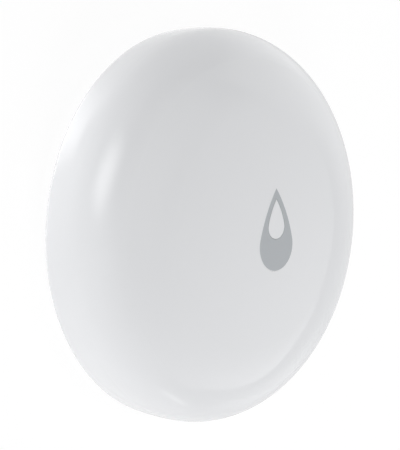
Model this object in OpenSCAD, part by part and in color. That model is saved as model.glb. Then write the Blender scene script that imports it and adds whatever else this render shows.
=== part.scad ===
// Water leak sensor: a round glossy puck that lies on the floor, dome up.
// Two probes on its underside sense a film of water, and the drop on the dome is its key and lamp.
// Origin on the floor under the middle of the body, +Z up, +Y towards the tip of the drop.

/* [Body] */
// Height from the floor to the top of the dome
body_h = 15; // [14:0.1:18]
// Radius of the dome
dome_r = 201.17; // [120:0.01:300]
// Radius of the roll-over between the dome and the shoulder
blend_r = 13.67; // [12:0.01:18]
// Distance between the centres of the roll-over and the shoulder
blend_w = 3.36; // [2:0.01:4.2]
// Radius of the rounded shoulder above the widest ring
shoulder_r = 7.42; // [6.5:0.01:8.5]
// Radius of the gently curved side below the widest ring
side_r = 23.46; // [18:0.01:40]
// Radius of the lower edge of the body
corner_r = 1.5; // [1:0.1:2.5]
// Wall of the front shell at the widest ring
rim_wall = 3; // [2.6:0.1:3.6]
// Wall of the front shell at the top of the dome
top_wall = 1.8; // [1.4:0.1:2.2]

/* [Base] */
// Width of the base's ring between the battery door and the seam
base_ring_w = 7.36; // [6.6:0.01:9]
// Height of the body's underside above the floor
foot_h = 0.6; // [0.3:0.05:1]
// Thickness of the base's floor
floor_t = 1.8; // [1.4:0.1:2.4]
// Gap of the seam between the base and the front shell
seam_gap = 0.15; // [0.05:0.05:0.25]
// Height of the base's outer rim, which holds the main seal
rim_h = 3.2; // [2.6:0.1:3.6]
// Thickness of the base's outer rim
rim_t = 2; // [1.6:0.1:2.6]
// Cord diameter of the main seal
main_cord_d = 1; // [0.7:0.05:1.3]

/* [Feet and housing screws] */
// Diameter of a rubber foot
foot_d = 5.8; // [4.6:0.1:6.2]
// Thickness of a rubber foot
foot_t = 1.4; // [1.1:0.05:1.8]
// Diameter of a housing screw
screw_d = 2; // [1.6:0.1:2.4]
// Length of a housing screw under its head
screw_l = 6; // [4:0.5:8]
// Diameter of a housing screw's head
screw_head_d = 3.8; // [3.2:0.1:4.2]
// Height of a housing screw's head
screw_head_h = 1.2; // [0.8:0.1:1.5]
// Thickness of the base under a housing screw's head
screw_seat_t = 1.2; // [0.8:0.1:1.6]
// Diameter of the front shell's screw bosses
boss_d = 4.8; // [4:0.1:5.4]
// Thickness of the web that ties a boss to the shell's wall
boss_web_t = 1.2; // [0.8:0.1:1.6]

/* [Coin cell] */
// Diameter of the coin cell
cell_d = 20; // [18:0.5:20.5]
// Height of the coin cell
cell_h = 3.2; // [2.5:0.1:3.6]
// Radial play between the cell and the door's wall
cell_play = 0.5; // [0.3:0.05:0.7]
// Room for the contact springs between the cell and the circuit board
contact_gap = 0.9; // [0.7:0.05:1.4]
// Thickness of the contact spring strip
contact_t = 0.2; // [0.15:0.05:0.3]
// Wall of the cell holder's ring
holder_wall = 1.4; // [1:0.1:1.8]

/* [Battery door] */
// Thickness of the door's flange
door_flange_t = 1.2; // [1:0.05:1.5]
// Width of the flange beyond the seal's bore
door_flange_w = 1.2; // [0.9:0.05:1.35]
// Thickness of the door's floor
door_floor_t = 1.8; // [1.6:0.1:2.2]
// Height of the ribs inside the door
rib_h = 0.5; // [0.3:0.1:0.9]
// Thickness of those ribs
rib_t = 1; // [0.7:0.1:1.4]
// Number of those ribs
rib_count = 6; // [4:1:8]
// Thickness of the foam pad under the cell
pad_t = 0.4; // [0.3:0.1:0.8]
// Thickness of the door's plug wall
plug_wall = 1.3; // [1:0.05:1.5]
// Cord diameter of the door's seal
door_cord_d = 1.3; // [1:0.05:1.4]
// Thickness of the base's bayonet ledge
ledge_t = 0.8; // [0.6:0.05:1.2]
// Thickness of the door's bayonet lugs
lug_t = 0.8; // [0.6:0.05:1.1]
// Angle that each bayonet lug spans
lug_angle = 24; // [16:1:30]
// Angle that the door turns from locked to free
door_turn = 45; // [40:1:55]
// Wall of the base's collar round the door
collar_wall = 1.6; // [1.45:0.05:1.7]
// Length of the coin slot
coin_slot_l = 15; // [10:0.5:18]
// Width of the coin slot
coin_slot_w = 2.4; // [1.8:0.1:3]
// Depth of the coin slot
coin_slot_depth = 1; // [0.6:0.1:1.2]

/* [Circuit board] */
// Thickness of the circuit board
board_t = 1; // [0.8:0.1:1.6]
// Gap between the board's edge and the shell's wall
board_edge_gap = 2.4; // [1.6:0.1:3]
// Diameter of the board's posts
post_d = 3.4; // [3:0.1:3.8]
// Diameter of a board screw
board_screw_d = 1.6; // [1.2:0.1:1.8]
// Length of a board screw under its head
board_screw_l = 4.5; // [3:0.5:5]
// Diameter of a board screw's head
board_screw_head_d = 3; // [2.4:0.1:3.4]
// Height of a board screw's head
board_screw_head_h = 1; // [0.7:0.1:1.2]
// Height of the switch's body
switch_h = 0.9; // [0.7:0.1:1.1]
// Width of the switch's body
switch_w = 3.4; // [3:0.1:4]
// Diameter of the switch's plunger
plunger_d = 1.6; // [1.2:0.1:2]
// Height that the plunger stands out of the switch
plunger_proud = 0.4; // [0.35:0.05:0.5]
// Height of the indicator lamp
led_h = 0.7; // [0.5:0.1:0.9]

/* [Drop key] */
// Distance of the drop from the body's middle
drop_x = 3.4; // [2.8:0.1:5]
// Place of the drop's round end along its length
drop_y = -2.15; // [-3:0.05:-1]
// Radius of the drop's round end
bulb_r = 3.2; // [3:0.05:3.6]
// Length of the drop from its round end to its tip
drop_h = 10.45; // [9.6:0.05:11.4]
// Radius of the drop's long sides
drop_side_r = 19; // [17:0.5:24]
// Radius of the round end of the drop's window
window_r = 1.55; // [1.35:0.05:1.7]
// Length of the drop's window
window_h = 5; // [4.4:0.1:5.4]
// Radius of the window's long sides
window_side_r = 9.3; // [8:0.1:14]
// Rise of the window's round end above the drop's round end
window_rise = 2.4; // [2.2:0.05:2.6]
// Gap round the key in the front shell
key_gap = 0.1; // [0.05:0.01:0.15]
// Travel of the key
key_travel = 0.3; // [0.2:0.05:0.3]
// Width of the key's flange
key_flange_w = 0.9; // [0.7:0.05:1.2]
// Thickness of the key's flange
key_flange_t = 0.7; // [0.5:0.05:0.9]
// Thickness of the soft seal under the key's flange
key_seal_t = 0.6; // [0.45:0.05:0.8]
// Thickness of the flat seat for the key inside the dome
key_seat_t = 0.4; // [0.4:0.05:0.7]
// Wall of the frame that holds the key
frame_wall = 0.8; // [0.6:0.05:1]
// Thickness of the frame's ledge and ears
frame_ledge_t = 0.5; // [0.4:0.05:0.7]
// Diameter of the stem that presses the switch
stem_d = 2; // [1.6:0.1:2.2]

/* [Probes] */
// Height of the probes above the floor
probe_lift = 0.4; // [0.2:0.05:0.55]
// Diameter of a probe's head
probe_head_d = 5.4; // [4.8:0.1:5.6]
// Height of a probe's head
probe_head_h = 1.4; // [1.1:0.1:1.7]
// Diameter of a probe's shank
probe_d = 3; // [2.5:0.1:3.2]
// Cord diameter of a probe's seal
probe_cord_d = 0.8; // [0.6:0.05:0.9]
// Thickness of the base between a probe's seal and its nut
probe_boss_t = 1.3; // [0.9:0.1:1.6]
// Diameter of the base's probe bosses
probe_boss_d = 6.8; // [6.2:0.1:7]
// Width of a probe's nut across its flats
nut_af = 5.5; // [4.5:0.1:5.6]
// Height of a probe's nut
nut_h = 1.8; // [1.4:0.1:2.2]
// Length of a probe's contact finger from the probe's axis
finger_l = 8.5; // [7.5:0.1:9]
// Width of that finger
finger_w = 2.4; // [1.8:0.1:2.8]

/* [Hidden] */
$fn = 96;
fine_fn = 180;
cord_fn = 32;
dome_fn = 2880;

// Small clearances
fit_gap = 0.05;
seal_gap = 0.02;
door_gap = 0.15;
part_gap = 0.3;
hole_gap = 0.1;
over = 1;

// Radii from the coin cell outwards
cell_r = cell_d / 2;
plug_in_r = cell_r + cell_play;
plug_r = plug_in_r + plug_wall;
ledge_in_r = plug_r + door_gap;
seal_bore_r = plug_r + door_cord_d + 2 * seal_gap;
lug_r = seal_bore_r - door_gap;
door_flange_r = seal_bore_r + door_flange_w;
door_recess_r = door_flange_r + door_gap;
collar_r = seal_bore_r + collar_wall;
base_r = door_recess_r + base_ring_w;
bore_r = base_r + seam_gap;
body_r = bore_r + rim_wall;
ring_r = (door_recess_r + base_r) / 2;
post_r = post_d / 2;
post_ring_r = collar_r + post_r + fit_gap;

// Outer body: dome, roll-over, shoulder, side and lower edge are tangent arcs
base_z0 = foot_h;
shoulder_x = body_r - shoulder_r;
blend_x = shoulder_x - blend_w;
dome_z = body_h - dome_r;
blend_z = dome_z + sqrt((dome_r - blend_r) ^ 2 - blend_x ^ 2);
widest_z = blend_z + sqrt((blend_r - shoulder_r) ^ 2 - blend_w ^ 2);
dome_slope = blend_x / (dome_r - blend_r);
blend_slope = blend_w / (blend_r - shoulder_r);
side_x = body_r - side_r;
corner_z = base_z0 + corner_r;
corner_x = side_x + sqrt((side_r - corner_r) ^ 2 - (widest_z - corner_z) ^ 2);
corner_angle = atan2(corner_z - widest_z, corner_x - side_x);
corner_join_z = widest_z + side_r * sin(corner_angle);

// Base and main seal
groove_r = bore_r - main_cord_d - 2 * seal_gap;
groove_h = main_cord_d + part_gap;
groove_lip = 0.45;
groove_z1 = base_z0 + rim_h - groove_lip;

// Feet and housing screws
foot_count = 3;
foot_a0 = 90;
foot_r = foot_d / 2;
screw_pocket_h = screw_head_h + hole_gap;
boss_z0 = max(foot_t + screw_pocket_h + screw_seat_t, base_z0 + rim_h + hole_gap);
boss_r = boss_d / 2;
screw_pad_wall = 1.3;
screw_pad_r = screw_head_d / 2 + screw_pad_wall;
screw_z0 = foot_t + screw_pocket_h;
foot_edge_r = 0.3;
foot_angles = [for (i = [0:foot_count - 1]) foot_a0 + i * 360 / foot_count];

// Battery door
door_flange_z1 = base_z0 + door_flange_t;
door_recess_z1 = door_flange_z1 + door_gap;
ledge_z0 = door_flange_z1 + door_cord_d + 2 * door_gap;
ledge_z1 = ledge_z0 + ledge_t;
lug_z0 = ledge_z1 + door_gap;
lug_z1 = lug_z0 + lug_t;
plug_z1 = lug_z1 + hole_gap;
lug_count = 3;
lug_angles = [for (i = [0:lug_count - 1]) i * 360 / lug_count];
slot_play_angle = 4;
slot_angle = lug_angle + slot_play_angle;
stop_angle = 7;
stop_gap_angle = 2;
door_floor_z1 = base_z0 + max(door_floor_t, door_flange_t);
door_chamfer = 0.25;
hub_r = 3.5;
rib_z1 = door_floor_z1 + rib_h;
pad_z1 = rib_z1 + pad_t;
pad_inset = 1.5;
pad_r = cell_r - pad_inset;

// Coin cell and its holder
cell_z0 = pad_z1 + fit_gap;
cell_z1 = cell_z0 + cell_h;
cell_cap_inset = 1.3;
cell_cap_r = cell_r - cell_cap_inset;
cell_wall = 0.6;
cell_gasket_r = cell_r - cell_wall;
cell_edge = 0.25;
cell_cap_proud = 0.35;
cell_crimp_z = cell_z1 - cell_cap_proud;
cell_cap_h = 1;
cell_cap_z = cell_z1 - cell_cap_h;
holder_play = 0.2;
holder_r0 = cell_r + holder_play;
holder_r1 = holder_r0 + holder_wall;
holder_z0 = lug_z1 + part_gap;
holder_notch_a = 225;
peg_d = 1.2;
peg_ring_r = (holder_r0 + holder_r1) / 2;
peg_angles = [0, 120];
contact_w = 4;
contact_foot_l = 2.8;
leaf_l = 3;
holder_notch_play = 0.5;
holder_notch_w = contact_w + 2 * holder_notch_play;

// Circuit board
board_z0 = cell_z1 + contact_gap;
board_z1 = board_z0 + board_t;
board_r = bore_r - board_edge_gap;
post_angles = [45, 135, 270];
board_notch_gap = 0.4;
board_notch_r = boss_r + board_notch_gap;

// Drop key, its switch and its lamp
window_y = drop_y + window_rise;
stem_y = (drop_y - bulb_r + window_y - window_r) / 2;
key_seat_z = body_h - top_wall - key_seat_t;
key_flange_z1 = key_seat_z - fit_gap;
key_flange_z0 = key_flange_z1 - key_flange_t;
key_seal_z0 = key_flange_z0 - key_seal_t;
frame_z0 = key_seal_z0 - frame_ledge_t;
frame_gap = 0.2;
frame_in_grow = key_flange_w + frame_gap;
frame_out_grow = frame_in_grow + frame_wall;
seat_grow = frame_out_grow + frame_gap;
stake_r = 0.6;
stake_head_r = 1;
stake_head_h = 0.45;
ear_r = 1.4;
ear_x = bulb_r + frame_out_grow + stake_head_r + hole_gap;
ear_z0 = key_seat_z - 2 * frame_ledge_t;
stake_z0 = ear_z0 - fit_gap;
switch_z1 = board_z1 + switch_h;
plunger_z1 = switch_z1 + plunger_proud;
plunger_z0 = board_z1 + key_travel + fit_gap;
switch_l = 3;
led_w = 2;
led_l = 1.25;
lens_w = 1.4;
lamp_gap = 0.2;
light_pipe_z0 = board_z1 + led_h + key_travel + lamp_gap;
window_flange_w = 0.5;
window_flange_t = 0.6;
window_flange_z1 = key_flange_z0 - fit_gap;
bulb_steps = 40;
side_steps = 10;

// Parts on the board
radio_size = [10, 13, 0.8];
radio_edge = 5.1;
radio_x = radio_edge + radio_size.x / 2 - board_r;
shield_size = [8.6, 8.6, 1.5];
shield_y = -1.6;
shield_wall = 0.2;
radio_z1 = board_z1 + radio_size.z;
antenna_size = [7, 2, 0.7];
antenna_y = 5;
crystal_size = [3.2, 2.5, 0.7];
crystal_at = [-1.5, 8];
capacitor_size = [1.6, 0.8, 0.8];
capacitor_edge = 8.6;
capacitor_y = -4.5;
capacitor_at = [board_r - capacitor_edge, capacitor_y];
capacitor_step = 1.8;
capacitor_count = 4;

// Probes
probe_seat_z = probe_lift + probe_head_h;
probe_pocket_r = probe_head_d / 2 + hole_gap;
probe_seal_r = probe_d / 2 + probe_cord_d + 2 * seal_gap;
probe_boss_z0 = probe_seat_z + probe_cord_d + 2 * seal_gap;
probe_boss_z1 = probe_boss_z0 + probe_boss_t;
tab_r = nut_af / 2;
nut_z0 = probe_boss_z1 + contact_t;
nut_z1 = nut_z0 + nut_h;
nut_turn = 30;
probe_proud = 0.4;
probe_z1 = nut_z1 + probe_proud;
probe_right_a = 0;
probe_left_a = 180;
probe_angles = [probe_right_a, probe_left_a];
probe_dome_h = 0.5;
finger_turn = 115;
finger_flat_l = 1.2;
finger_bend_x = tab_r + finger_flat_l;
finger_tip_l = 1.6;
finger_rise_x = finger_l - finger_tip_l;

white = [0.95, 0.95, 0.96];
pale = [0.9, 0.9, 0.91];
grey = [0.66, 0.69, 0.7];
milky = [0.86, 0.87, 0.88];
steel = [0.75, 0.75, 0.77];
brass = [0.8, 0.68, 0.38];
black = [0.12, 0.12, 0.13];
rubber = [0.25, 0.25, 0.26];
green = [0.1, 0.38, 0.24];
ceramic = [0.7, 0.62, 0.5];

// Copies of a shape on a ring about the body's axis
module on_ring(r, angles) {
    for (a = angles) rotate(a) translate([r, 0, 0]) children();
}

// Flat shape raised from one level to another
module slab(z0, z1) {
    translate([0, 0, z0]) linear_extrude(z1 - z0) children();
}

// Round bar from one level to another
module rod(r, z0, z1) {
    translate([0, 0, z0]) cylinder(r = r, h = z1 - z0);
}

// Round bar with a bore right through it
module tube(r0, r1, z0, z1) {
    difference() {
        rod(r1, z0, z1);
        rod(r0, z0 - over, z1 + over);
    }
}

// Closed ring of round cord
module cord_ring(ring_r, cord_d, z) {
    rotate_extrude() translate([ring_r, z]) circle(d = cord_d, $fn = cord_fn);
}

// Block on a sector of a ring, centred on an angle
module ring_block(r0, r1, z0, z1, mid, span) {
    rotate(mid - span / 2) rotate_extrude(angle = span)
        translate([r0, z0]) square([r1 - r0, z1 - z0]);
}

// Block standing on a level, centred over a point
module chip(size, at, z) {
    translate([at.x - size.x / 2, at.y - size.y / 2, z]) cube(size);
}

// Half section of the front, drawn in by a wall: a dome that rolls over into a round shoulder
module front_section(wall) {
    dome_end = (dome_r - wall) * dome_slope;
    blend_end = blend_x + (blend_r - wall) * blend_slope;
    intersection() {
        translate([0, dome_z]) circle(dome_r - wall, $fn = dome_fn);
        translate([0, widest_z]) square([dome_end, body_h]);
    }
    intersection() {
        translate([blend_x, blend_z]) circle(blend_r - wall, $fn = 2 * fine_fn);
        translate([dome_end, widest_z]) square([body_r, body_h]);
        translate([0, widest_z]) square([blend_end, body_h]);
    }
    intersection() {
        translate([shoulder_x, widest_z]) circle(shoulder_r - wall, $fn = fine_fn);
        translate([blend_end, widest_z]) square([body_r, body_h]);
    }
}

// Half section of the whole body: the front, the curved side and the lower edge
module body_section() {
    front_section(0);
    intersection() {
        translate([side_x, widest_z]) circle(side_r, $fn = 2 * fine_fn);
        translate([0, corner_join_z]) square([body_r + over, widest_z - corner_join_z]);
    }
    translate([0, base_z0]) square([corner_x, corner_join_z - base_z0]);
    intersection() {
        translate([corner_x, corner_z]) circle(corner_r);
        translate([corner_x, base_z0]) square([body_r, corner_join_z - base_z0]);
    }
}

// Half section of the room inside the front shell
module room_section() {
    intersection() {
        front_section(top_wall);
        translate([0, widest_z]) square([bore_r, body_h]);
    }
    translate([0, -over]) square([bore_r, widest_z + over]);
}

// Solid that ends halfway through the shell's wall, to trim what grows out of the wall
module mid_wall() {
    rotate_extrude($fn = fine_fn) {
        front_section(top_wall / 2);
        square([bore_r + rim_wall / 2, widest_z]);
    }
}

function arc_points(centre, r, a0, a1, steps) = [
    for (i = [0:steps]) let (a = a0 + (a1 - a0) * i / steps) centre + r * [cos(a), sin(a)]
];

// Drop about the centre of its round end: two long arcs run from the round end to a tip
module drop_outline(r, h, side_r, grow) {
    tip = h - r;
    reach = side_r - r;
    lean = asin((2 * side_r * r - r ^ 2 - tip ^ 2) / (2 * tip * reach));
    tip_a = acos(reach * cos(lean) / (side_r + grow));
    bulb = arc_points([0, 0], r + grow, 180 - lean, 360 + lean, bulb_steps);
    side = arc_points(-reach * [cos(lean), sin(lean)], side_r + grow, lean, tip_a, side_steps);
    polygon(concat(
        bulb,
        [for (i = [1:side_steps]) side[i]],
        [for (i = [side_steps - 1:-1:1]) [-side[i].x, side[i].y]]
    ));
}

module key_outline(grow) {
    translate([drop_x, drop_y]) drop_outline(bulb_r, drop_h, drop_side_r, grow);
}

module window_outline(grow) {
    translate([drop_x, window_y]) drop_outline(window_r, window_h, window_side_r, grow);
}

module at_ears() {
    for (s = [-1, 1]) translate([drop_x + s * ear_x, drop_y]) children();
}

// Upright shape whose top lies flush with the dome
module flush_with_dome(z0) {
    intersection() {
        rotate(180) rotate_extrude($fn = fine_fn) front_section(0);
        slab(z0, body_h + over) children();
    }
}

// Boss for a housing screw, tied to the shell's wall by a web
module screw_boss() {
    rod(boss_r, boss_z0, body_h);
    translate([0, -boss_web_t / 2, boss_z0 + boss_r])
        cube([bore_r + rim_wall - ring_r, boss_web_t, body_h]);
}

module front_shell() color(white) difference() {
    union() {
        rotate(180) rotate_extrude($fn = fine_fn) difference() {
            body_section();
            room_section();
        }
        intersection() {
            mid_wall();
            union() {
                on_ring(ring_r, foot_angles) screw_boss();
                slab(key_seat_z, body_h) {
                    key_outline(seat_grow);
                    at_ears() circle(ear_r + hole_gap);
                }
            }
        }
        at_ears() {
            rod(stake_r, stake_z0, key_seat_z + hole_gap);
            rod(stake_head_r, stake_z0 - stake_head_h, stake_z0);
        }
    }
    slab(frame_z0, body_h + over) key_outline(key_gap);
    on_ring(ring_r, foot_angles) rod(screw_d / 2 + seal_gap, 0, screw_z0 + screw_l + part_gap);
}

module drop_key() color(grey) difference() {
    union() {
        flush_with_dome(key_flange_z0) key_outline(0);
        slab(key_flange_z0, key_flange_z1) key_outline(key_flange_w);
        translate([drop_x, stem_y]) rod(stem_d / 2, plunger_z1 + fit_gap, key_flange_z1);
    }
    slab(0, body_h + over) window_outline(fit_gap);
}

module light_window() color(milky) {
    flush_with_dome(light_pipe_z0) window_outline(0);
    slab(window_flange_z1 - window_flange_t, window_flange_z1) window_outline(window_flange_w);
}

module key_seal() color(rubber) slab(key_seal_z0, key_flange_z0) difference() {
    key_outline(key_flange_w);
    key_outline(key_gap);
}

module key_frame() color(black) difference() {
    union() {
        slab(frame_z0, key_seat_z) key_outline(frame_out_grow);
        slab(ear_z0, key_seat_z) for (s = [-1, 1]) {
            translate([drop_x + s * ear_x, drop_y]) circle(ear_r);
            translate([drop_x + s * ear_x / 2, drop_y]) square([ear_x, 2 * ear_r], center = true);
        }
    }
    slab(key_seal_z0, key_seat_z + over) key_outline(frame_in_grow);
    slab(frame_z0 - over, key_seat_z + over) key_outline(key_gap);
    at_ears() rod(stake_r + fit_gap, frame_z0, key_seat_z + over);
}

// Half section of the base: floor, rim, and the collar with its bayonet ledge
module base_section() difference() {
    union() {
        translate([seal_bore_r, base_z0]) square([base_r - seal_bore_r, floor_t]);
        translate([base_r - rim_t, base_z0]) square([rim_t, rim_h]);
        translate([seal_bore_r, base_z0]) square([collar_wall, ledge_z1 - base_z0]);
        translate([ledge_in_r, ledge_z0]) square([collar_r - ledge_in_r, ledge_t]);
    }
    square([door_recess_r, door_recess_z1]);
}

// Stops that end the door's turn, on both sides of one lug's way
module lug_stops(lug_a) {
    for (mid = [
        lug_a + lug_angle / 2 + stop_gap_angle + stop_angle / 2,
        lug_a - door_turn - slot_angle / 2 - stop_angle / 2
    ]) ring_block(ledge_in_r + door_gap, collar_r - door_gap, ledge_z1 - door_gap, lug_z1, mid, stop_angle);
}

module rear_base() color(pale) difference() {
    union() {
        rotate_extrude($fn = fine_fn) base_section();
        on_ring(ring_r, foot_angles) rod(screw_pad_r, base_z0, boss_z0);
        on_ring(post_ring_r, post_angles) rod(post_r, base_z0, board_z0);
        on_ring(ring_r, probe_angles) rod(probe_boss_d / 2, base_z0, probe_boss_z1);
        for (a = lug_angles) lug_stops(a);
    }
    tube(groove_r, bore_r + over, groove_z1 - groove_h, groove_z1);
    for (a = lug_angles) ring_block(
        plug_in_r, seal_bore_r + door_gap, ledge_z0 - door_gap, ledge_z1 + door_gap,
        a - door_turn, slot_angle
    );
    on_ring(ring_r, foot_angles) {
        rod(foot_r + hole_gap, 0, foot_t);
        rod(screw_head_d / 2 + hole_gap, 0, screw_z0);
        rod(screw_d / 2 + hole_gap, 0, boss_z0 + over);
    }
    on_ring(post_ring_r, post_angles)
        rod(board_screw_d / 2 + seal_gap, board_z1 - board_screw_l - part_gap, board_z0 + over);
    on_ring(ring_r, probe_angles) {
        rod(probe_pocket_r, 0, probe_seat_z);
        rod(probe_seal_r, 0, probe_boss_z0);
        rod(probe_d / 2 + hole_gap, 0, probe_boss_z1 + over);
    }
}

module main_seal() color(rubber)
    cord_ring(bore_r - seal_gap - main_cord_d / 2, main_cord_d, groove_z1 - groove_h / 2);

module housing_screws() color(steel) on_ring(ring_r, foot_angles) {
    rod(screw_head_d / 2, screw_z0 - screw_head_h, screw_z0);
    rod(screw_d / 2, screw_z0 - screw_head_h / 2, screw_z0 + screw_l);
}

module feet() color(rubber) on_ring(ring_r, foot_angles) rotate_extrude() {
    square([foot_r - foot_edge_r, foot_t]);
    translate([0, foot_edge_r]) square([foot_r, foot_t - foot_edge_r]);
    translate([foot_r - foot_edge_r, foot_edge_r]) circle(foot_edge_r, $fn = cord_fn);
}

// Half section of the door: flange with a chamfered edge, floor and plug wall
module door_section() {
    polygon([
        [0, base_z0], [door_flange_r - door_chamfer, base_z0], [door_flange_r, base_z0 + door_chamfer],
        [door_flange_r, door_flange_z1], [0, door_flange_z1]
    ]);
    translate([0, base_z0]) square([plug_r, door_floor_z1 - base_z0]);
    translate([plug_in_r, base_z0]) square([plug_wall, plug_z1 - base_z0]);
}

module battery_door() color(pale) difference() {
    union() {
        rotate_extrude($fn = fine_fn) door_section();
        rod(hub_r, base_z0, rib_z1);
        for (i = [0:rib_count - 1]) rotate(i * 360 / rib_count)
            translate([0, -rib_t / 2, base_z0]) cube([plug_in_r + plug_wall / 2, rib_t, rib_z1 - base_z0]);
        for (a = lug_angles) ring_block(plug_in_r + plug_wall / 2, lug_r, lug_z0, lug_z1, a, lug_angle);
    }
    slab(0, base_z0 + coin_slot_depth) {
        square([coin_slot_l - coin_slot_w, coin_slot_w], center = true);
        for (s = [-1, 1]) translate([s * (coin_slot_l - coin_slot_w) / 2, 0]) circle(d = coin_slot_w);
    }
}

module door_seal() color(rubber) {
    inset = seal_gap + door_cord_d / 2;
    cord_ring(plug_r + inset, door_cord_d, door_flange_z1 + inset);
}

module door_pad() color(black) rod(pad_r, rib_z1, pad_z1);

module cell_can() color(steel) rotate_extrude($fn = fine_fn) polygon([
    [0, cell_z0], [cell_r - cell_edge, cell_z0], [cell_r, cell_z0 + cell_edge],
    [cell_r, cell_crimp_z - cell_edge], [cell_r - cell_edge, cell_crimp_z],
    [cell_gasket_r, cell_crimp_z], [cell_gasket_r, cell_cap_z], [0, cell_cap_z]
]);

module cell_gasket() color(black)
    tube(cell_cap_r + seal_gap, cell_gasket_r - seal_gap, cell_cap_z, cell_crimp_z);

module cell_cap() color(steel) rotate_extrude($fn = fine_fn) polygon([
    [0, cell_cap_z], [cell_cap_r, cell_cap_z], [cell_cap_r, cell_z1 - cell_edge],
    [cell_cap_r - cell_edge, cell_z1], [0, cell_z1]
]);

module battery_holder() color(black) {
    difference() {
        tube(holder_r0, holder_r1, holder_z0, board_z0);
        rotate(holder_notch_a) translate([0, -holder_notch_w / 2, 0])
            cube([body_r, holder_notch_w, body_h]);
    }
    on_ring(peg_ring_r, peg_angles) rod(peg_d / 2, board_z0 - contact_t, board_z1 - contact_t);
}

// Leaf on the side of the cell, with a foot on the board
module positive_contact() color(brass) rotate(holder_notch_a) translate([cell_r + fit_gap, 0, 0])
    rotate([90, 0, 0]) linear_extrude(contact_w, center = true) {
        translate([0, holder_z0]) square([contact_t, board_z0 - holder_z0]);
        translate([0, board_z0 - contact_t]) square([contact_foot_l, contact_t]);
    }

// Leaf bent down onto the cell's cap, with a foot on the board
module negative_contact() color(brass) rotate([90, 0, 0]) linear_extrude(contact_w, center = true) polygon([
    [-contact_foot_l, board_z0], [0, board_z0], [leaf_l, cell_z1 + fit_gap + contact_t],
    [leaf_l + contact_w / 2, cell_z1 + fit_gap + contact_t], [leaf_l + contact_w / 2, cell_z1 + fit_gap],
    [leaf_l, cell_z1 + fit_gap], [0, board_z0 - contact_t], [-contact_foot_l, board_z0 - contact_t]
]);

module circuit_board() color(green) difference() {
    rod(board_r, board_z0, board_z1);
    on_ring(ring_r, foot_angles) rod(board_notch_r, 0, body_h);
    on_ring(post_ring_r, post_angles) rod(board_screw_d / 2 + hole_gap, 0, body_h);
    on_ring(peg_ring_r, peg_angles) rod(peg_d / 2 + hole_gap, 0, body_h);
}

module board_screws() color(steel) on_ring(post_ring_r, post_angles) {
    rod(board_screw_head_d / 2, board_z1, board_z1 + board_screw_head_h);
    rod(board_screw_d / 2, board_z1 - board_screw_l, board_z1 + board_screw_head_h / 2);
}

module switch_body() color(black) difference() {
    chip([switch_w, switch_l, switch_h], [drop_x, stem_y], board_z1);
    translate([drop_x, stem_y]) rod(plunger_d / 2 + fit_gap, 0, body_h);
}

module switch_plunger() color(pale) translate([drop_x, stem_y]) rod(plunger_d / 2, plunger_z0, plunger_z1);

module indicator_lamp() color(milky) {
    chip([led_w, led_l, led_h / 2], [drop_x, window_y], board_z1);
    chip([lens_w, led_l, led_h], [drop_x, window_y], board_z1);
}

module radio_board() color(green) chip(radio_size, [radio_x, 0], board_z1);

module radio_shield() color(steel) difference() {
    chip(shield_size, [radio_x, shield_y], radio_z1);
    chip(shield_size - [2, 2, 0] * shield_wall, [radio_x, shield_y], radio_z1 - shield_wall);
}

module chip_antenna() color(ceramic) chip(antenna_size, [radio_x, antenna_y], radio_z1);

module crystal() color(steel) chip(crystal_size, crystal_at, board_z1);

module capacitors() color(ceramic) for (i = [0:capacitor_count - 1])
    chip(capacitor_size, capacitor_at + [0, i * capacitor_step], board_z1);

// Domed head below, shank up through the base
module probe() {
    head_r = probe_head_d / 2;
    dome = (head_r ^ 2 + probe_dome_h ^ 2) / (2 * probe_dome_h);
    rotate_extrude() {
        intersection() {
            translate([0, probe_lift + dome]) circle(dome, $fn = 2 * fine_fn);
            translate([0, probe_lift]) square([head_r, probe_head_h]);
        }
        translate([0, probe_seat_z - probe_dome_h])
            square([probe_d / 2, probe_z1 - probe_seat_z + probe_dome_h]);
    }
}

module probe_left() color(steel) on_ring(ring_r, [probe_left_a]) probe();

module probe_right() color(steel) on_ring(ring_r, [probe_right_a]) probe();

module probe_seals() color(rubber) on_ring(ring_r, probe_angles)
    cord_ring((probe_d + probe_cord_d) / 2 + seal_gap, probe_cord_d, (probe_seat_z + probe_boss_z0) / 2);

module probe_nuts() color(brass) on_ring(ring_r, probe_angles) difference() {
    rotate(nut_turn) translate([0, 0, nut_z0]) cylinder(r = nut_af / sqrt(3), h = nut_h, $fn = 6);
    rod(probe_d / 2 + seal_gap, 0, body_h);
}

// Ring under a probe's nut with a finger that bends up to the board
module probe_contact(turn) rotate(turn) difference() {
    tip_z = board_z0 - fit_gap - contact_t;
    union() {
        rod(tab_r, probe_boss_z1, nut_z0);
        rotate([90, 0, 0]) linear_extrude(finger_w, center = true) polygon([
            [0, probe_boss_z1], [finger_bend_x, probe_boss_z1], [finger_rise_x, tip_z], [finger_l, tip_z],
            [finger_l, tip_z + contact_t], [finger_rise_x - contact_t, tip_z + contact_t],
            [finger_bend_x - contact_t, nut_z0], [0, nut_z0]
        ]);
    }
    rod(probe_d / 2 + hole_gap, 0, body_h);
}

module probe_contacts() color(brass) {
    on_ring(ring_r, [probe_right_a]) probe_contact(finger_turn);
    on_ring(ring_r, [probe_left_a]) probe_contact(-finger_turn);
}

front_shell();
drop_key();
light_window();
key_seal();
key_frame();
rear_base();
main_seal();
housing_screws();
feet();
battery_door();
door_seal();
door_pad();
cell_can();
cell_gasket();
cell_cap();
battery_holder();
positive_contact();
negative_contact();
circuit_board();
board_screws();
switch_body();
switch_plunger();
indicator_lamp();
radio_board();
radio_shield();
chip_antenna();
crystal();
capacitors();
probe_left();
probe_right();
probe_seals();
probe_nuts();
probe_contacts();
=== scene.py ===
# Water leak sensor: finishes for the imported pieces, and the view and light of the photo
import math

import bmesh
import bpy
from mathutils import Matrix, Vector


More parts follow.
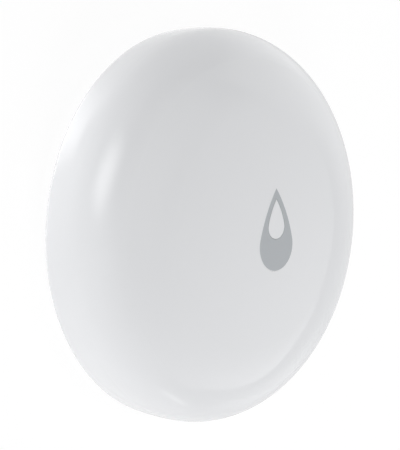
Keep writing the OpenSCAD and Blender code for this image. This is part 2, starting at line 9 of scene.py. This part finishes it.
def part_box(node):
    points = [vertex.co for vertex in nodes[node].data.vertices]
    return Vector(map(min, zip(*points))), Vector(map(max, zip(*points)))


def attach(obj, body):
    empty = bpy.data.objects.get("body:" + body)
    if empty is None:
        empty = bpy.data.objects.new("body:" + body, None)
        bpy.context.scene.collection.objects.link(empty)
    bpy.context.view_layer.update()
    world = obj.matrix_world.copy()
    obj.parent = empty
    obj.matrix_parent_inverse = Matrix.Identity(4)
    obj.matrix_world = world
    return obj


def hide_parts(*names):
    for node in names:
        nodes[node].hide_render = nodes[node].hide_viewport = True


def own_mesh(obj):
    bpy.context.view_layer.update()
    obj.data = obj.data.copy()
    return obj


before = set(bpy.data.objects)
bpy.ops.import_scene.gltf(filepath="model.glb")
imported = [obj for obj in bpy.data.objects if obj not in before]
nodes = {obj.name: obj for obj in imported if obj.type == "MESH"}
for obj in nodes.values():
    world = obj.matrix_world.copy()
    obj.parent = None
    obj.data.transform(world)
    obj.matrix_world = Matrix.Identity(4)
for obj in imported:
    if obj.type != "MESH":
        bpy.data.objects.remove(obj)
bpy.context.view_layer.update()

MM = 0.001

# Sizes taken over from the part's source, in metres and radians
RING_R = 18.17 * MM
PROBE_COUNT, PROBE_A0 = 2, 0.0
FOOT_COUNT, FOOT_A0 = 3, math.radians(90)
KEY_GAP = 0.1 * MM
UNDERSIDE_Z = 0.6 * MM

# Points closer than this are one point
WELD = 0.001 * MM


def new_object(name, data):
    """A new object in the scene."""
    obj = bpy.data.objects.new(name, data)
    bpy.context.scene.collection.objects.link(obj)
    return obj


def close_up(mesh):
    """Joins a mesh's doubled points and turns its faces outwards."""
    shape = bmesh.new()
    shape.from_mesh(mesh)
    bmesh.ops.remove_doubles(shape, verts=shape.verts, dist=WELD)
    bmesh.ops.recalc_face_normals(shape, faces=shape.faces)
    shape.to_mesh(mesh)
    shape.free()


def add(tree, kind, inputs=None, **settings):
    """A new node. Each input is a value, or the socket that feeds it."""
    node = tree.nodes.new(kind)
    for key, value in settings.items():
        setattr(node, key, value)
    for key, value in (inputs or {}).items():
        if isinstance(value, bpy.types.NodeSocket):
            tree.links.new(value, node.inputs[key])
        else:
            node.inputs[key].default_value = value
    return node


def calc(tree, operation, *values):
    """The result of a math node."""
    return add(tree, "ShaderNodeMath", dict(enumerate(values)), operation=operation).outputs[0]


# Sizes of the finishes' detail, and how far it changes a colour
PLASTIC_IOR = 1.46
FLOW_SIZE = 14 * MM
SMEAR_SIZE = 1.5 * MM
SMEAR_SHADES = 0.93, 1.05
TOOL_PITCH, TOOL_DEPTH = 0.12 * MM, 0.0012 * MM
ROLL_SIZE, ROLL_DEPTH = 0.5 * MM, 0.001 * MM
ROLL_SHADES = 0.9, 1.06
ROLL_DETAIL = 4.0
TRACE_CELL, TRACE_DEPTH = 2.2 * MM, 0.012 * MM
TRACE_PITCH, TRACE_DISORDER = 0.28, 0.7
WEAVE_SIZE, WEAVE_SHARE = 0.4 * MM, 0.3

# Sockets of the mix node that are for colours
MIX_FACTOR, MIX_FIRST, MIX_SECOND = 0, 6, 7
MIX_RESULT = 2


def new_finish(name, roughness, metallic=0.0):
    """A material with its shader, and the piece's own coordinates."""
    material = bpy.data.materials.new(name)
    material.use_nodes = True
    tree = material.node_tree
    shader = tree.nodes["Principled BSDF"]
    shader.inputs["Roughness"].default_value = roughness
    shader.inputs["Metallic"].default_value = metallic
    shader.inputs["IOR"].default_value = PLASTIC_IOR
    place = add(tree, "ShaderNodeTexCoord").outputs["Object"]
    return material, tree, shader, place


def noise(tree, place, size, detail=3.0):
    """Noise whose blotches are about that size."""
    inputs = {"Vector": place, "Scale": 1 / size, "Detail": detail}
    return add(tree, "ShaderNodeTexNoise", inputs).outputs["Fac"]


def blend_colour(tree, factor, first, second):
    """A colour between two, by a factor."""
    inputs = {MIX_FACTOR: factor, MIX_FIRST: (*first, 1.0), MIX_SECOND: (*second, 1.0)}
    return add(tree, "ShaderNodeMix", inputs, data_type="RGBA").outputs[MIX_RESULT]


def spread(tree, value, low, high):
    """A value from 0 to 1, spread between two limits."""
    inputs = {"Value": value, "To Min": low, "To Max": high}
    return add(tree, "ShaderNodeMapRange", inputs).outputs["Result"]


def shade(colour, factor):
    """The colour, darker or lighter by a factor."""
    return tuple(min(1.0, c * factor) for c in colour)


def tinted(tree, shader, factor, colour, shades):
    """Gives the shader a colour that varies between two shades of it."""
    darker, lighter = shades
    tint = blend_colour(tree, factor, shade(colour, darker), shade(colour, lighter))
    tree.links.new(tint, shader.inputs["Base Color"])


def glossed(tree, shader, factor, gloss):
    """Gives the shader a roughness that varies between two limits."""
    tree.links.new(spread(tree, factor, *gloss), shader.inputs["Roughness"])


def bumped(tree, shader, height, depth):
    """Gives the shader a relief of that depth."""
    relief = add(tree, "ShaderNodeBump", {"Height": height, "Strength": 1.0, "Distance": depth})
    tree.links.new(relief.outputs["Normal"], shader.inputs["Normal"])


def moulded(name, colour, gloss, grain, depth, mottling):
    """Moulded plastic or rubber: faint flow marks, uneven gloss and the mould's fine grain."""
    material, tree, shader, place = new_finish(name, gloss[0])
    tinted(tree, shader, noise(tree, place, FLOW_SIZE), colour, (1 - mottling, 1 + mottling))
    pits = noise(tree, place, grain)
    glossed(tree, shader, pits, gloss)
    bumped(tree, shader, pits, depth)
    return material


def ring_distance(tree, place, count, first_angle):
    """Distance from the nearest of several axes that stand on the ring of the feet and probes."""
    axis = add(tree, "ShaderNodeSeparateXYZ", {0: place}).outputs
    sector = math.tau / count
    angle = calc(tree, "SUBTRACT", calc(tree, "ARCTAN2", axis["Y"], axis["X"]), first_angle)
    sectors = calc(tree, "ROUND", calc(tree, "DIVIDE", angle, sector))
    angle = calc(tree, "SUBTRACT", angle, calc(tree, "MULTIPLY", sectors, sector))
    x_squared = calc(tree, "MULTIPLY", axis["X"], axis["X"])
    reach = calc(tree, "SQRT", calc(tree, "MULTIPLY_ADD", axis["Y"], axis["Y"], x_squared))
    out = calc(tree, "SUBTRACT", calc(tree, "MULTIPLY", reach, calc(tree, "COSINE", angle)), RING_R)
    side = calc(tree, "MULTIPLY", reach, calc(tree, "SINE", angle))
    side_squared = calc(tree, "MULTIPLY", side, side)
    return calc(tree, "SQRT", calc(tree, "MULTIPLY_ADD", out, out, side_squared))


def turned(name, colour, gloss, count, first_angle):
    """Turned metal: tool rings about each axis, with a little stain and smear."""
    material, tree, shader, place = new_finish(name, gloss[0], metallic=1.0)
    smear = noise(tree, place, SMEAR_SIZE)
    tinted(tree, shader, smear, colour, SMEAR_SHADES)
    glossed(tree, shader, smear, gloss)
    reach = ring_distance(tree, place, count, first_angle)
    rings = calc(tree, "SINE", calc(tree, "MULTIPLY", reach, math.tau / TOOL_PITCH))
    bumped(tree, shader, rings, TOOL_DEPTH)
    return material


def plated(name, colour, gloss, stretch=(1, 1, 1)):
    """Rolled or plated metal: fine lines along the strip and cloudy gloss."""
    material, tree, shader, place = new_finish(name, gloss[0], metallic=1.0)
    along = add(tree, "ShaderNodeMapping", {"Vector": place, "Scale": stretch}).outputs[0]
    lines = noise(tree, along, ROLL_SIZE, ROLL_DETAIL)
    tinted(tree, shader, lines, colour, ROLL_SHADES)
    glossed(tree, shader, lines, gloss)
    bumped(tree, shader, lines, ROLL_DEPTH)
    return material


def laminate(name, mask, trace, gloss):
    """Circuit board: paler traces in square turns under the solder mask, and a fine weave."""
    material, tree, shader, place = new_finish(name, gloss[0])
    inputs = {"Vector": place, "Scale": 1 / TRACE_CELL, "Randomness": TRACE_DISORDER}
    settings = {"distance": "CHEBYCHEV", "voronoi_dimensions": "2D"}
    reach = add(tree, "ShaderNodeTexVoronoi", inputs, **settings).outputs["Distance"]
    turns = calc(tree, "PINGPONG", reach, TRACE_PITCH / 2)
    copper = calc(tree, "GREATER_THAN", turns, TRACE_PITCH / 4)
    tree.links.new(blend_colour(tree, copper, mask, trace), shader.inputs["Base Color"])
    weave = noise(tree, place, WEAVE_SIZE)
    glossed(tree, shader, weave, gloss)
    bumped(tree, shader, calc(tree, "MULTIPLY_ADD", weave, WEAVE_SHARE, copper), TRACE_DEPTH)
    return material


# Moulded finishes: colour, limits of roughness, size and depth of the grain, and mottling
shell_gloss = moulded("shell_gloss", (0.792, 0.80, 0.818), (0.07, 0.085), 1.6 * MM, 0.0002 * MM, 0.004)
base_satin = moulded("base_satin", (0.76, 0.768, 0.785), (0.38, 0.48), 0.14 * MM, 0.006 * MM, 0.012)
key_grey = moulded("key_grey", (0.425, 0.447, 0.470), (0.2, 0.26), 0.5 * MM, 0.0006 * MM, 0.008)
window_milky = moulded("window_milky", (0.80, 0.808, 0.826), (0.12, 0.16), 1.2 * MM, 0.0003 * MM, 0.006)
seal_rubber = moulded("seal_rubber", (0.20, 0.20, 0.21), (0.5, 0.62), 0.3 * MM, 0.004 * MM, 0.06)
foot_rubber = moulded("foot_rubber", (0.27, 0.275, 0.28), (0.6, 0.72), 0.12 * MM, 0.008 * MM, 0.05)
black_plastic = moulded("black_plastic", (0.022, 0.022, 0.024), (0.36, 0.46), 0.15 * MM, 0.005 * MM, 0.06)
foam_black = moulded("foam_black", (0.03, 0.03, 0.032), (0.85, 0.95), 0.25 * MM, 0.05 * MM, 0.12)
ceramic_tan = moulded("ceramic_tan", (0.40, 0.31, 0.20), (0.3, 0.42), 0.1 * MM, 0.004 * MM, 0.06)
lamp_resin = moulded("lamp_resin", (0.72, 0.68, 0.45), (0.12, 0.2), 0.4 * MM, 0.001 * MM, 0.03)

# Board and metal finishes: colour, limits of roughness, and the axes or the direction of their lines
board_green = laminate("board_green", (0.014, 0.095, 0.04), (0.03, 0.17, 0.075), (0.22, 0.32))
probe_steel = turned("probe_steel", (0.45, 0.445, 0.435), (0.2, 0.3), PROBE_COUNT, PROBE_A0)
screw_steel = turned("screw_steel", (0.55, 0.55, 0.555), (0.26, 0.36), FOOT_COUNT, FOOT_A0)
nut_brass = turned("nut_brass", (0.68, 0.50, 0.22), (0.24, 0.34), PROBE_COUNT, PROBE_A0)
cell_steel = plated("cell_steel", (0.64, 0.64, 0.645), (0.2, 0.34))
spring_bronze = plated("spring_bronze", (0.75, 0.56, 0.25), (0.18, 0.3), (1, 6, 6))

FINISHES = (
    (shell_gloss, "front_shell"),
    (base_satin, "rear_base battery_door"),
    (key_grey, "drop_key"),
    (window_milky, "light_window switch_plunger"),
    (seal_rubber, "key_seal main_seal door_seal probe_seals"),
    (foot_rubber, "feet"),
    (black_plastic, "key_frame cell_gasket battery_holder switch_body"),
    (foam_black, "door_pad"),
    (probe_steel, "probe_left probe_right"),
    (screw_steel, "housing_screws board_screws"),
    (nut_brass, "probe_nuts"),
    (cell_steel, "cell_can cell_cap radio_shield crystal"),
    (spring_bronze, "positive_contact negative_contact probe_contacts"),
    (board_green, "circuit_board radio_board"),
    (lamp_resin, "indicator_lamp"),
    (ceramic_tan, "chip_antenna capacitors"),
)
for finish, names in FINISHES:
    for name in names.split():
        nodes[name].material_slots[0].material = finish

# The soft seal under the key, as a copy with its doubled points joined and sharp edges by angle
SEAL_SHARP_ANGLE = math.radians(30)
seal_mesh = nodes["key_seal"].data.copy()
seal_mesh.name = "soft_seal"
close_up(seal_mesh)
if "custom_normal" in seal_mesh.attributes:
    seal_mesh.attributes.remove(seal_mesh.attributes["custom_normal"])
seal_mesh.set_sharp_from_angle(angle=SEAL_SHARP_ANGLE)
soft_seal = new_object("soft_seal", seal_mesh)
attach(soft_seal, "housing")
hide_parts("key_seal")
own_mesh(soft_seal)

# Soft white lip round the key, which fills the gap to the shell and lies flush with the dome
LIP_PLAY = 0.015 * MM
LIP_WIDTH = KEY_GAP - LIP_PLAY
LIP_DEPTH = 0.35 * MM

# The key's top edge is less than this below its highest point, and its top's normals have more z than this
KEY_TOP_FALL = 0.4 * MM
KEY_TOP_NORMAL = 0.5


def key_rim():
    """The outer edge of the key's top, as points in order from the drop's tip."""
    shape = bmesh.new()
    shape.from_mesh(nodes["drop_key"].data)
    bmesh.ops.remove_doubles(shape, verts=shape.verts, dist=WELD)
    top_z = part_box("drop_key")[1].z - KEY_TOP_FALL
    edges = set()
    for edge in shape.edges:
        wall, top = sorted(face.normal.z for face in edge.link_faces)
        if wall < KEY_TOP_NORMAL < top and all(vert.co.z > top_z for vert in edge.verts):
            edges.add(edge)
    vert = max((vert for edge in edges for vert in edge.verts), key=lambda vert: vert.co.y)
    points = []
    while True:
        edge = next((edge for edge in vert.link_edges if edge in edges), None)
        if edge is None:
            break
        edges.remove(edge)
        points.append(vert.co.copy())
        vert = edge.other_vert(vert)
    shape.free()
    return points


def grown(points, width):
    """A closed outline moved out by a width in plan, with mitred corners."""
    pairs = list(zip(points, points[1:] + points[:1]))
    turn = math.copysign(1, sum(a.x * b.y - b.x * a.y for a, b in pairs))
    sides = [Vector((b.y - a.y, a.x - b.x, 0)).normalized() * turn for a, b in pairs]
    moved = []
    for point, before, after in zip(points, sides[-1:] + sides[:-1], sides):
        moved.append(point + (before + after) * (width / (1 + before.dot(after))))
    return moved


rim = key_rim()
rim_out = grown(rim, LIP_WIDTH)
lip_down = Vector((0, 0, -LIP_DEPTH))
lip_loops = (rim, rim_out, [p + lip_down for p in rim_out], [p + lip_down for p in rim])
lip_points = [point for loop in lip_loops for point in loop]
lip_faces = []
for row in range(len(lip_loops)):
    next_row = (row + 1) % len(lip_loops)
    for step in range(len(rim)):
        next_step = (step + 1) % len(rim)
        face = ((row, step), (next_row, step), (next_row, next_step), (row, next_step))
        lip_faces.append([r * len(rim) + s for r, s in face])
lip_mesh = bpy.data.meshes.new("key_lip")
lip_mesh.from_pydata(lip_points, [], lip_faces)
close_up(lip_mesh)
lip_mesh.materials.append(shell_gloss)
key_lip = new_object("key_lip", lip_mesh)
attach(key_lip, "drop_button")

# Lock marks on the underside: an arrow on the door, a dot where it is locked and a ring where it is open
MARK_RISE, MARK_ROOT = 0.1 * MM, 0.03 * MM
LOCKED_AT, OPEN_AT = math.radians(292.5), math.radians(247.5)
ARROW_REACH, MARK_REACH = 12.4 * MM, 16.4 * MM
ARROW_R, DOT_R, RING_WALL = 0.95 * MM, 0.6 * MM, 0.22 * MM
ARROW_SIDES, ROUND_SIDES = 3, 48
MARK_INPUTS = {
    "Sides": "NodeSocketInt",
    "Radius": "NodeSocketFloat",
    "Wall": "NodeSocketFloat",
    "Height": "NodeSocketFloat",
    "Reach": "NodeSocketFloat",
    "Angle": "NodeSocketFloat",
    "Middle": "NodeSocketFloat",
    "Finish": "NodeSocketMaterial",
}


def mark_tree(name, hollow):
    """Geometry nodes of a raised mark: a prism, or a ring with a wall, off the middle at an angle."""
    tree = bpy.data.node_groups.new(name, "GeometryNodeTree")
    for label, kind in MARK_INPUTS.items():
        tree.interface.new_socket(label, in_out="INPUT", socket_type=kind)
    tree.interface.new_socket("Geometry", in_out="OUTPUT", socket_type="NodeSocketGeometry")
    size = add(tree, "NodeGroupInput").outputs
    if hollow:
        mid_radius = calc(tree, "MULTIPLY_ADD", size["Wall"], -0.5, size["Radius"])
        path_sizes = {"Resolution": size["Sides"], "Radius": mid_radius}
        path = add(tree, "GeometryNodeCurvePrimitiveCircle", path_sizes).outputs[0]
        wall_sizes = {"Width": size["Wall"], "Height": size["Height"]}
        wall = add(tree, "GeometryNodeCurvePrimitiveQuadrilateral", wall_sizes).outputs[0]
        mark = add(tree, "GeometryNodeCurveToMesh", {0: path, "Profile Curve": wall}).outputs[0]
    else:
        prism_sizes = {"Vertices": size["Sides"], "Radius": size["Radius"], "Depth": size["Height"]}
        mark = add(tree, "GeometryNodeMeshCylinder", prism_sizes).outputs["Mesh"]
    seat = add(tree, "ShaderNodeCombineXYZ", {"X": size["Reach"], "Z": size["Middle"]}).outputs[0]
    spot = add(tree, "GeometryNodeMeshLine", {"Count": 1, "Start Location": seat}).outputs[0]
    placed = add(tree, "GeometryNodeInstanceOnPoints", {"Points": spot, "Instance": mark}).outputs[0]
    angle = add(tree, "ShaderNodeCombineXYZ", {"Z": size["Angle"]}).outputs[0]
    swung = add(tree, "GeometryNodeTransform", {"Geometry": placed, "Rotation": angle}).outputs[0]
    whole = add(tree, "GeometryNodeRealizeInstances", {0: swung}).outputs[0]
    finish_inputs = {"Geometry": whole, "Material": size["Finish"]}
    finished = add(tree, "GeometryNodeSetMaterial", finish_inputs).outputs[0]
    add(tree, "NodeGroupOutput", {"Geometry": finished})
    return tree


def raised_mark(name, body, tree, sides, radius, reach, angle):
    """A mark on the underside, as a plain mesh that rides on a body."""
    values = {
        "Sides": sides,
        "Radius": radius,
        "Wall": RING_WALL,
        "Height": MARK_RISE + MARK_ROOT,
        "Reach": reach,
        "Angle": angle,
        "Middle": UNDERSIDE_Z + (MARK_ROOT - MARK_RISE) / 2,
        "Finish": key_grey,
    }
    maker = new_object(name + "_maker", bpy.data.meshes.new(name + "_maker"))
    modifier = maker.modifiers.new("mark", "NODES")
    modifier.node_group = tree
    for socket in tree.interface.items_tree:
        if socket.in_out == "INPUT":
            modifier[socket.identifier] = values[socket.name]
    evaluated = maker.evaluated_get(bpy.context.evaluated_depsgraph_get())
    mesh = bpy.data.meshes.new_from_object(evaluated)
    mesh.name = name
    bpy.data.objects.remove(maker)
    close_up(mesh)
    mark = new_object(name, mesh)
    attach(mark, body)


solid_mark = mark_tree("solid_mark", False)
hollow_mark = mark_tree("hollow_mark", True)
raised_mark("door_arrow", "battery_door", solid_mark, ARROW_SIDES, ARROW_R, ARROW_REACH, LOCKED_AT)
raised_mark("locked_dot", "housing", solid_mark, ROUND_SIDES, DOT_R, MARK_REACH, LOCKED_AT)
raised_mark("open_ring", "housing", hollow_mark, ROUND_SIDES, DOT_R, MARK_REACH, OPEN_AT)

# Camera at the photo's viewing angle: its axes and place, and its sensor and lens in millimetres
CAMERA_RIGHT = Vector((0.665193, 0.007051, 0.746639))
CAMERA_UP = Vector((0.080940, 0.993382, -0.081491))
CAMERA_BACK = Vector((-0.742273, 0.114641, 0.660220))
CAMERA_AT = Vector((-464.400, 71.656, 418.158)) * MM
CAMERA_SENSOR, CAMERA_LENS = 36, 395.06
CAMERA_NEAR, CAMERA_FAR = 0.05, 20
camera_data = bpy.data.cameras.new("camera")
camera_data.sensor_width = CAMERA_SENSOR
camera_data.lens = CAMERA_LENS
camera_data.clip_start = CAMERA_NEAR
camera_data.clip_end = CAMERA_FAR
camera = new_object("camera", camera_data)
camera_turn = Matrix((CAMERA_RIGHT, CAMERA_UP, CAMERA_BACK)).transposed()
camera.matrix_world = Matrix.Translation(CAMERA_AT) @ camera_turn.to_4x4()
bpy.context.scene.camera = camera


def seen_directly(tree):
    """1 for camera, glossy and transmission rays, which see the white background."""
    ray = add(tree, "ShaderNodeLightPath").outputs
    seen = calc(tree, "MAXIMUM", ray["Is Camera Ray"], ray["Is Glossy Ray"])
    return calc(tree, "MAXIMUM", seen, ray["Is Transmission Ray"])


# White world, which lights the pieces less than it shows
AMBIENT = 0.36
WHITE = (1, 1, 1, 1)
world = bpy.data.worlds.new("studio")
world.use_nodes = True
sky_tree = world.node_tree
sky = sky_tree.nodes["Background"]
sky.inputs["Color"].default_value = WHITE
sky_tree.links.new(spread(sky_tree, seen_directly(sky_tree), AMBIENT, 1.0), sky.inputs["Strength"])
bpy.context.scene.world = world

# White floor with a faint shadow, seen through from below
FLOOR_HALF = 4.0
FLOOR_GLOW = 0.9
FLOOR_GREY = (0.12, 0.12, 0.12, 1)
floor_corners = [(x * FLOOR_HALF, y * FLOOR_HALF, 0) for x, y in ((-1, -1), (1, -1), (1, 1), (-1, 1))]
floor_mesh = bpy.data.meshes.new("floor")
floor_mesh.from_pydata(floor_corners, [], [(0, 1, 2, 3)])
floor_white = bpy.data.materials.new("floor_white")
floor_white.use_nodes = True
floor_tree = floor_white.node_tree
floor_tree.nodes.remove(floor_tree.nodes["Principled BSDF"])
floor_glow = calc(floor_tree, "MULTIPLY", seen_directly(floor_tree), FLOOR_GLOW)
floor_light = add(floor_tree, "ShaderNodeEmission", {"Strength": floor_glow}).outputs[0]
floor_dull = add(floor_tree, "ShaderNodeBsdfDiffuse", {"Color": FLOOR_GREY}).outputs[0]
floor_top = add(floor_tree, "ShaderNodeAddShader", {0: floor_light, 1: floor_dull}).outputs[0]
floor_under = add(floor_tree, "ShaderNodeBsdfTransparent").outputs[0]
from_below = add(floor_tree, "ShaderNodeNewGeometry").outputs["Backfacing"]
floor_both = add(floor_tree, "ShaderNodeMixShader", {0: from_below, 1: floor_top, 2: floor_under}).outputs[0]
floor_tree.links.new(floor_both, floor_tree.nodes["Material Output"].inputs["Surface"])
floor_mesh.materials.append(floor_white)
floor = new_object("floor", floor_mesh)
floor.visible_shadow = False
floor.visible_diffuse = False
floor.visible_glossy = False

# Soft round lamps: direction from the part's middle, distance in metres and radiance
LAMPS = (
    ("lamp_under_left", (-0.120, 0.369, -0.922), 0.12, 4.8),
    ("lamp_under_right", (-0.806, -0.382, -0.453), 0.22, 4.45),
    ("lamp_under_low", (-0.176, -0.819, -0.547), 0.12, 2.0),
    ("lamp_right", (0.882, 0.464, 0.078), 0.22, 5.2),
    ("lamp_low", (-0.110, -0.850, 0.516), 0.22, 5.5),
    ("lamp_left", (-0.966, 0.255, 0.047), 0.22, 3.4),
    ("lamp_left_low", (-0.830, 0.426, -0.359), 0.12, 1.1),
    ("lamp_front", (-0.382, 0.913, 0.141), 0.50, 3.1),
    ("lamp_top", (0.176, 0.000, 0.984), 0.50, 2.35),
    ("lamp_top_right", (0.473, -0.301, 0.828), 0.12, 1.6),
)
PART_MIDDLE = Vector((0, 0, 7.5 * MM))

# A lamp's width, as a share of its distance
LAMP_SPREAD = 0.5
for name, direction, far, radiance in LAMPS:
    lamp_data = bpy.data.lights.new(name, "AREA")
    lamp_data.shape = "DISK"
    lamp_data.size = far * LAMP_SPREAD
    lamp_area = math.pi * lamp_data.size ** 2 / 4
    lamp_data.energy = radiance * math.pi * lamp_area
    lamp = new_object(name, lamp_data)
    towards = Vector(direction).normalized()
    lamp.location = PART_MIDDLE + towards * far
    lamp.rotation_euler = towards.to_track_quat("Z", "Y").to_euler()
    lamp.visible_glossy = False
    lamp.visible_camera = False

# Cards that only the gloss sees: their distance, the fade of a crisp edge and that of a rounded corner
CARD_FAR = 0.5
CRISP = 0.006
CORNER_FADE = 0.03
CARD_UVS = ((0, 0), (1, 0), (1, 1), (0, 1))


def faded(tree, share, width):
    """Rises smoothly from 0 at an edge of a card to 1 at that share of its width."""
    inputs = {"Value": share, "From Max": width}
    settings = {"interpolation_type": "SMOOTHSTEP", "clamp": True}
    return add(tree, "ShaderNodeMapRange", inputs, **settings).outputs["Result"]


def round_corner(tree, across, radius):
    """0 on the round of a card's first corner, rising to 1 at the round's centre and beyond it."""
    past = [calc(tree, "MAXIMUM", calc(tree, "SUBTRACT", radius, across[axis]), 0.0) for axis in "XY"]
    squares = calc(tree, "MULTIPLY_ADD", past[0], past[0], calc(tree, "MULTIPLY", past[1], past[1]))
    return calc(tree, "SUBTRACT", 1.0, calc(tree, "DIVIDE", calc(tree, "SQRT", squares), radius))


def card(name, directions, fades, glow=0.0, dim=0.0, corner=None):
    """A card that glows in the gloss, or dims what is behind it.

    It takes its corners' directions from the part's middle, the fades at both ends of its length and
    of its width, and the radius of its first corner, where that is round.
    """
    mesh = bpy.data.meshes.new(name)
    mesh.from_pydata([PART_MIDDLE + Vector(d) * CARD_FAR for d in directions], [], [(0, 1, 2, 3)])
    corner_uvs = mesh.uv_layers.new(name="card")
    for loop, uv in zip(corner_uvs.data, CARD_UVS):
        loop.uv = uv
    material = bpy.data.materials.new(name)
    material.use_nodes = True
    tree = material.node_tree
    tree.nodes.remove(tree.nodes["Principled BSDF"])
    across = add(tree, "ShaderNodeSeparateXYZ", {0: add(tree, "ShaderNodeTexCoord").outputs["UV"]}).outputs
    level = 1.0
    for axis, (near, far) in zip("XY", fades):
        level = calc(tree, "MULTIPLY", level, faded(tree, across[axis], near))
        level = calc(tree, "MULTIPLY", level, faded(tree, calc(tree, "SUBTRACT", 1.0, across[axis]), far))
    if corner:
        rounding = faded(tree, round_corner(tree, across, corner), CORNER_FADE)
        level = calc(tree, "MULTIPLY", level, rounding)
    light = add(tree, "ShaderNodeEmission", {"Strength": calc(tree, "MULTIPLY", level, glow)}).outputs[0]
    passed = calc(tree, "MULTIPLY_ADD", level, -dim, 1.0)
    clear = add(tree, "ShaderNodeBsdfTransparent", {"Color": passed}).outputs[0]
    both = add(tree, "ShaderNodeAddShader", {0: light, 1: clear}).outputs[0]
    tree.links.new(both, tree.nodes["Material Output"].inputs["Surface"])
    mesh.materials.append(material)
    obj = new_object(name, mesh)
    obj.visible_camera = False
    obj.visible_diffuse = False
    obj.visible_shadow = False
    obj.visible_transmission = False


def strip(start, end, half_width):
    """Corner directions of a strip between two directions."""
    start, end = Vector(start), Vector(end)
    side = start.cross(end).normalized() * half_width
    return start - side, end - side, end + side, start + side


# The arc on the dome and the light inside it
card("softbox",
     ((0.810, -0.525, 0.268), (0.540, 0.550, 0.636), (-0.65, 0.52, 0.75), (-0.500, -0.700, 0.510)),
     ((CRISP, 0.9), (CRISP, 0.9)), glow=1.0, corner=0.18)
card("dome_glow",
     ((0.62, -0.15, 0.80), (0.62, 0.85, 0.45), (-0.35, 0.98, 0.40), (-0.75, -0.25, 0.75)),
     ((0.5, 0.45), (0.45, 0.4)), glow=0.8)

# The streaks and the glow on the shoulder
card("streak_left", strip((-0.50, 0.80, 0.33), (-0.985, 0.03, 0.12), 0.42),
     ((0.45, 0.45), (0.5, 0.5)), glow=4.0)
card("streak_low", strip((0.06, -0.98, 0.21), (0.44, -0.90, 0.0), 0.06),
     ((0.4, 0.4), (0.35, 0.35)), glow=1.55)
card("shoulder_glow_low", strip((0.50, -0.85, 0.15), (0.95, -0.28, -0.10), 0.30),
     ((0.35, 0.35), (0.5, 0.5)), glow=0.38)
card("shoulder_glow_high",
     ((0.700, -0.120, 0.411), (0.478, 0.765, 0.714), (0.62, 0.85, -0.65), (1.02, -0.12, -0.62)),
     ((0.25, 0.4), (CRISP, 0.9)), glow=0.7)

# The bright rim on the near side and the darker edge on the far side
card("rim_glow",
     ((-0.60, 0.36, -0.72), (-0.05, 0.78, -0.62), (0.35, 0.50, -0.79), (-0.15, 0.05, -0.99)),
     ((0.4, 0.6), (0.12, 0.05)), glow=2.2)
card("far_flag",
     ((0.80, 0.35, 0.49), (0.60, -0.75, 0.28), (0.35, -0.55, -0.76), (0.78, 0.30, -0.55)),
     ((0.3, 0.8), (0.95, 0.05)), dim=0.34)

bpy.context.scene.view_settings.view_transform = "Standard"
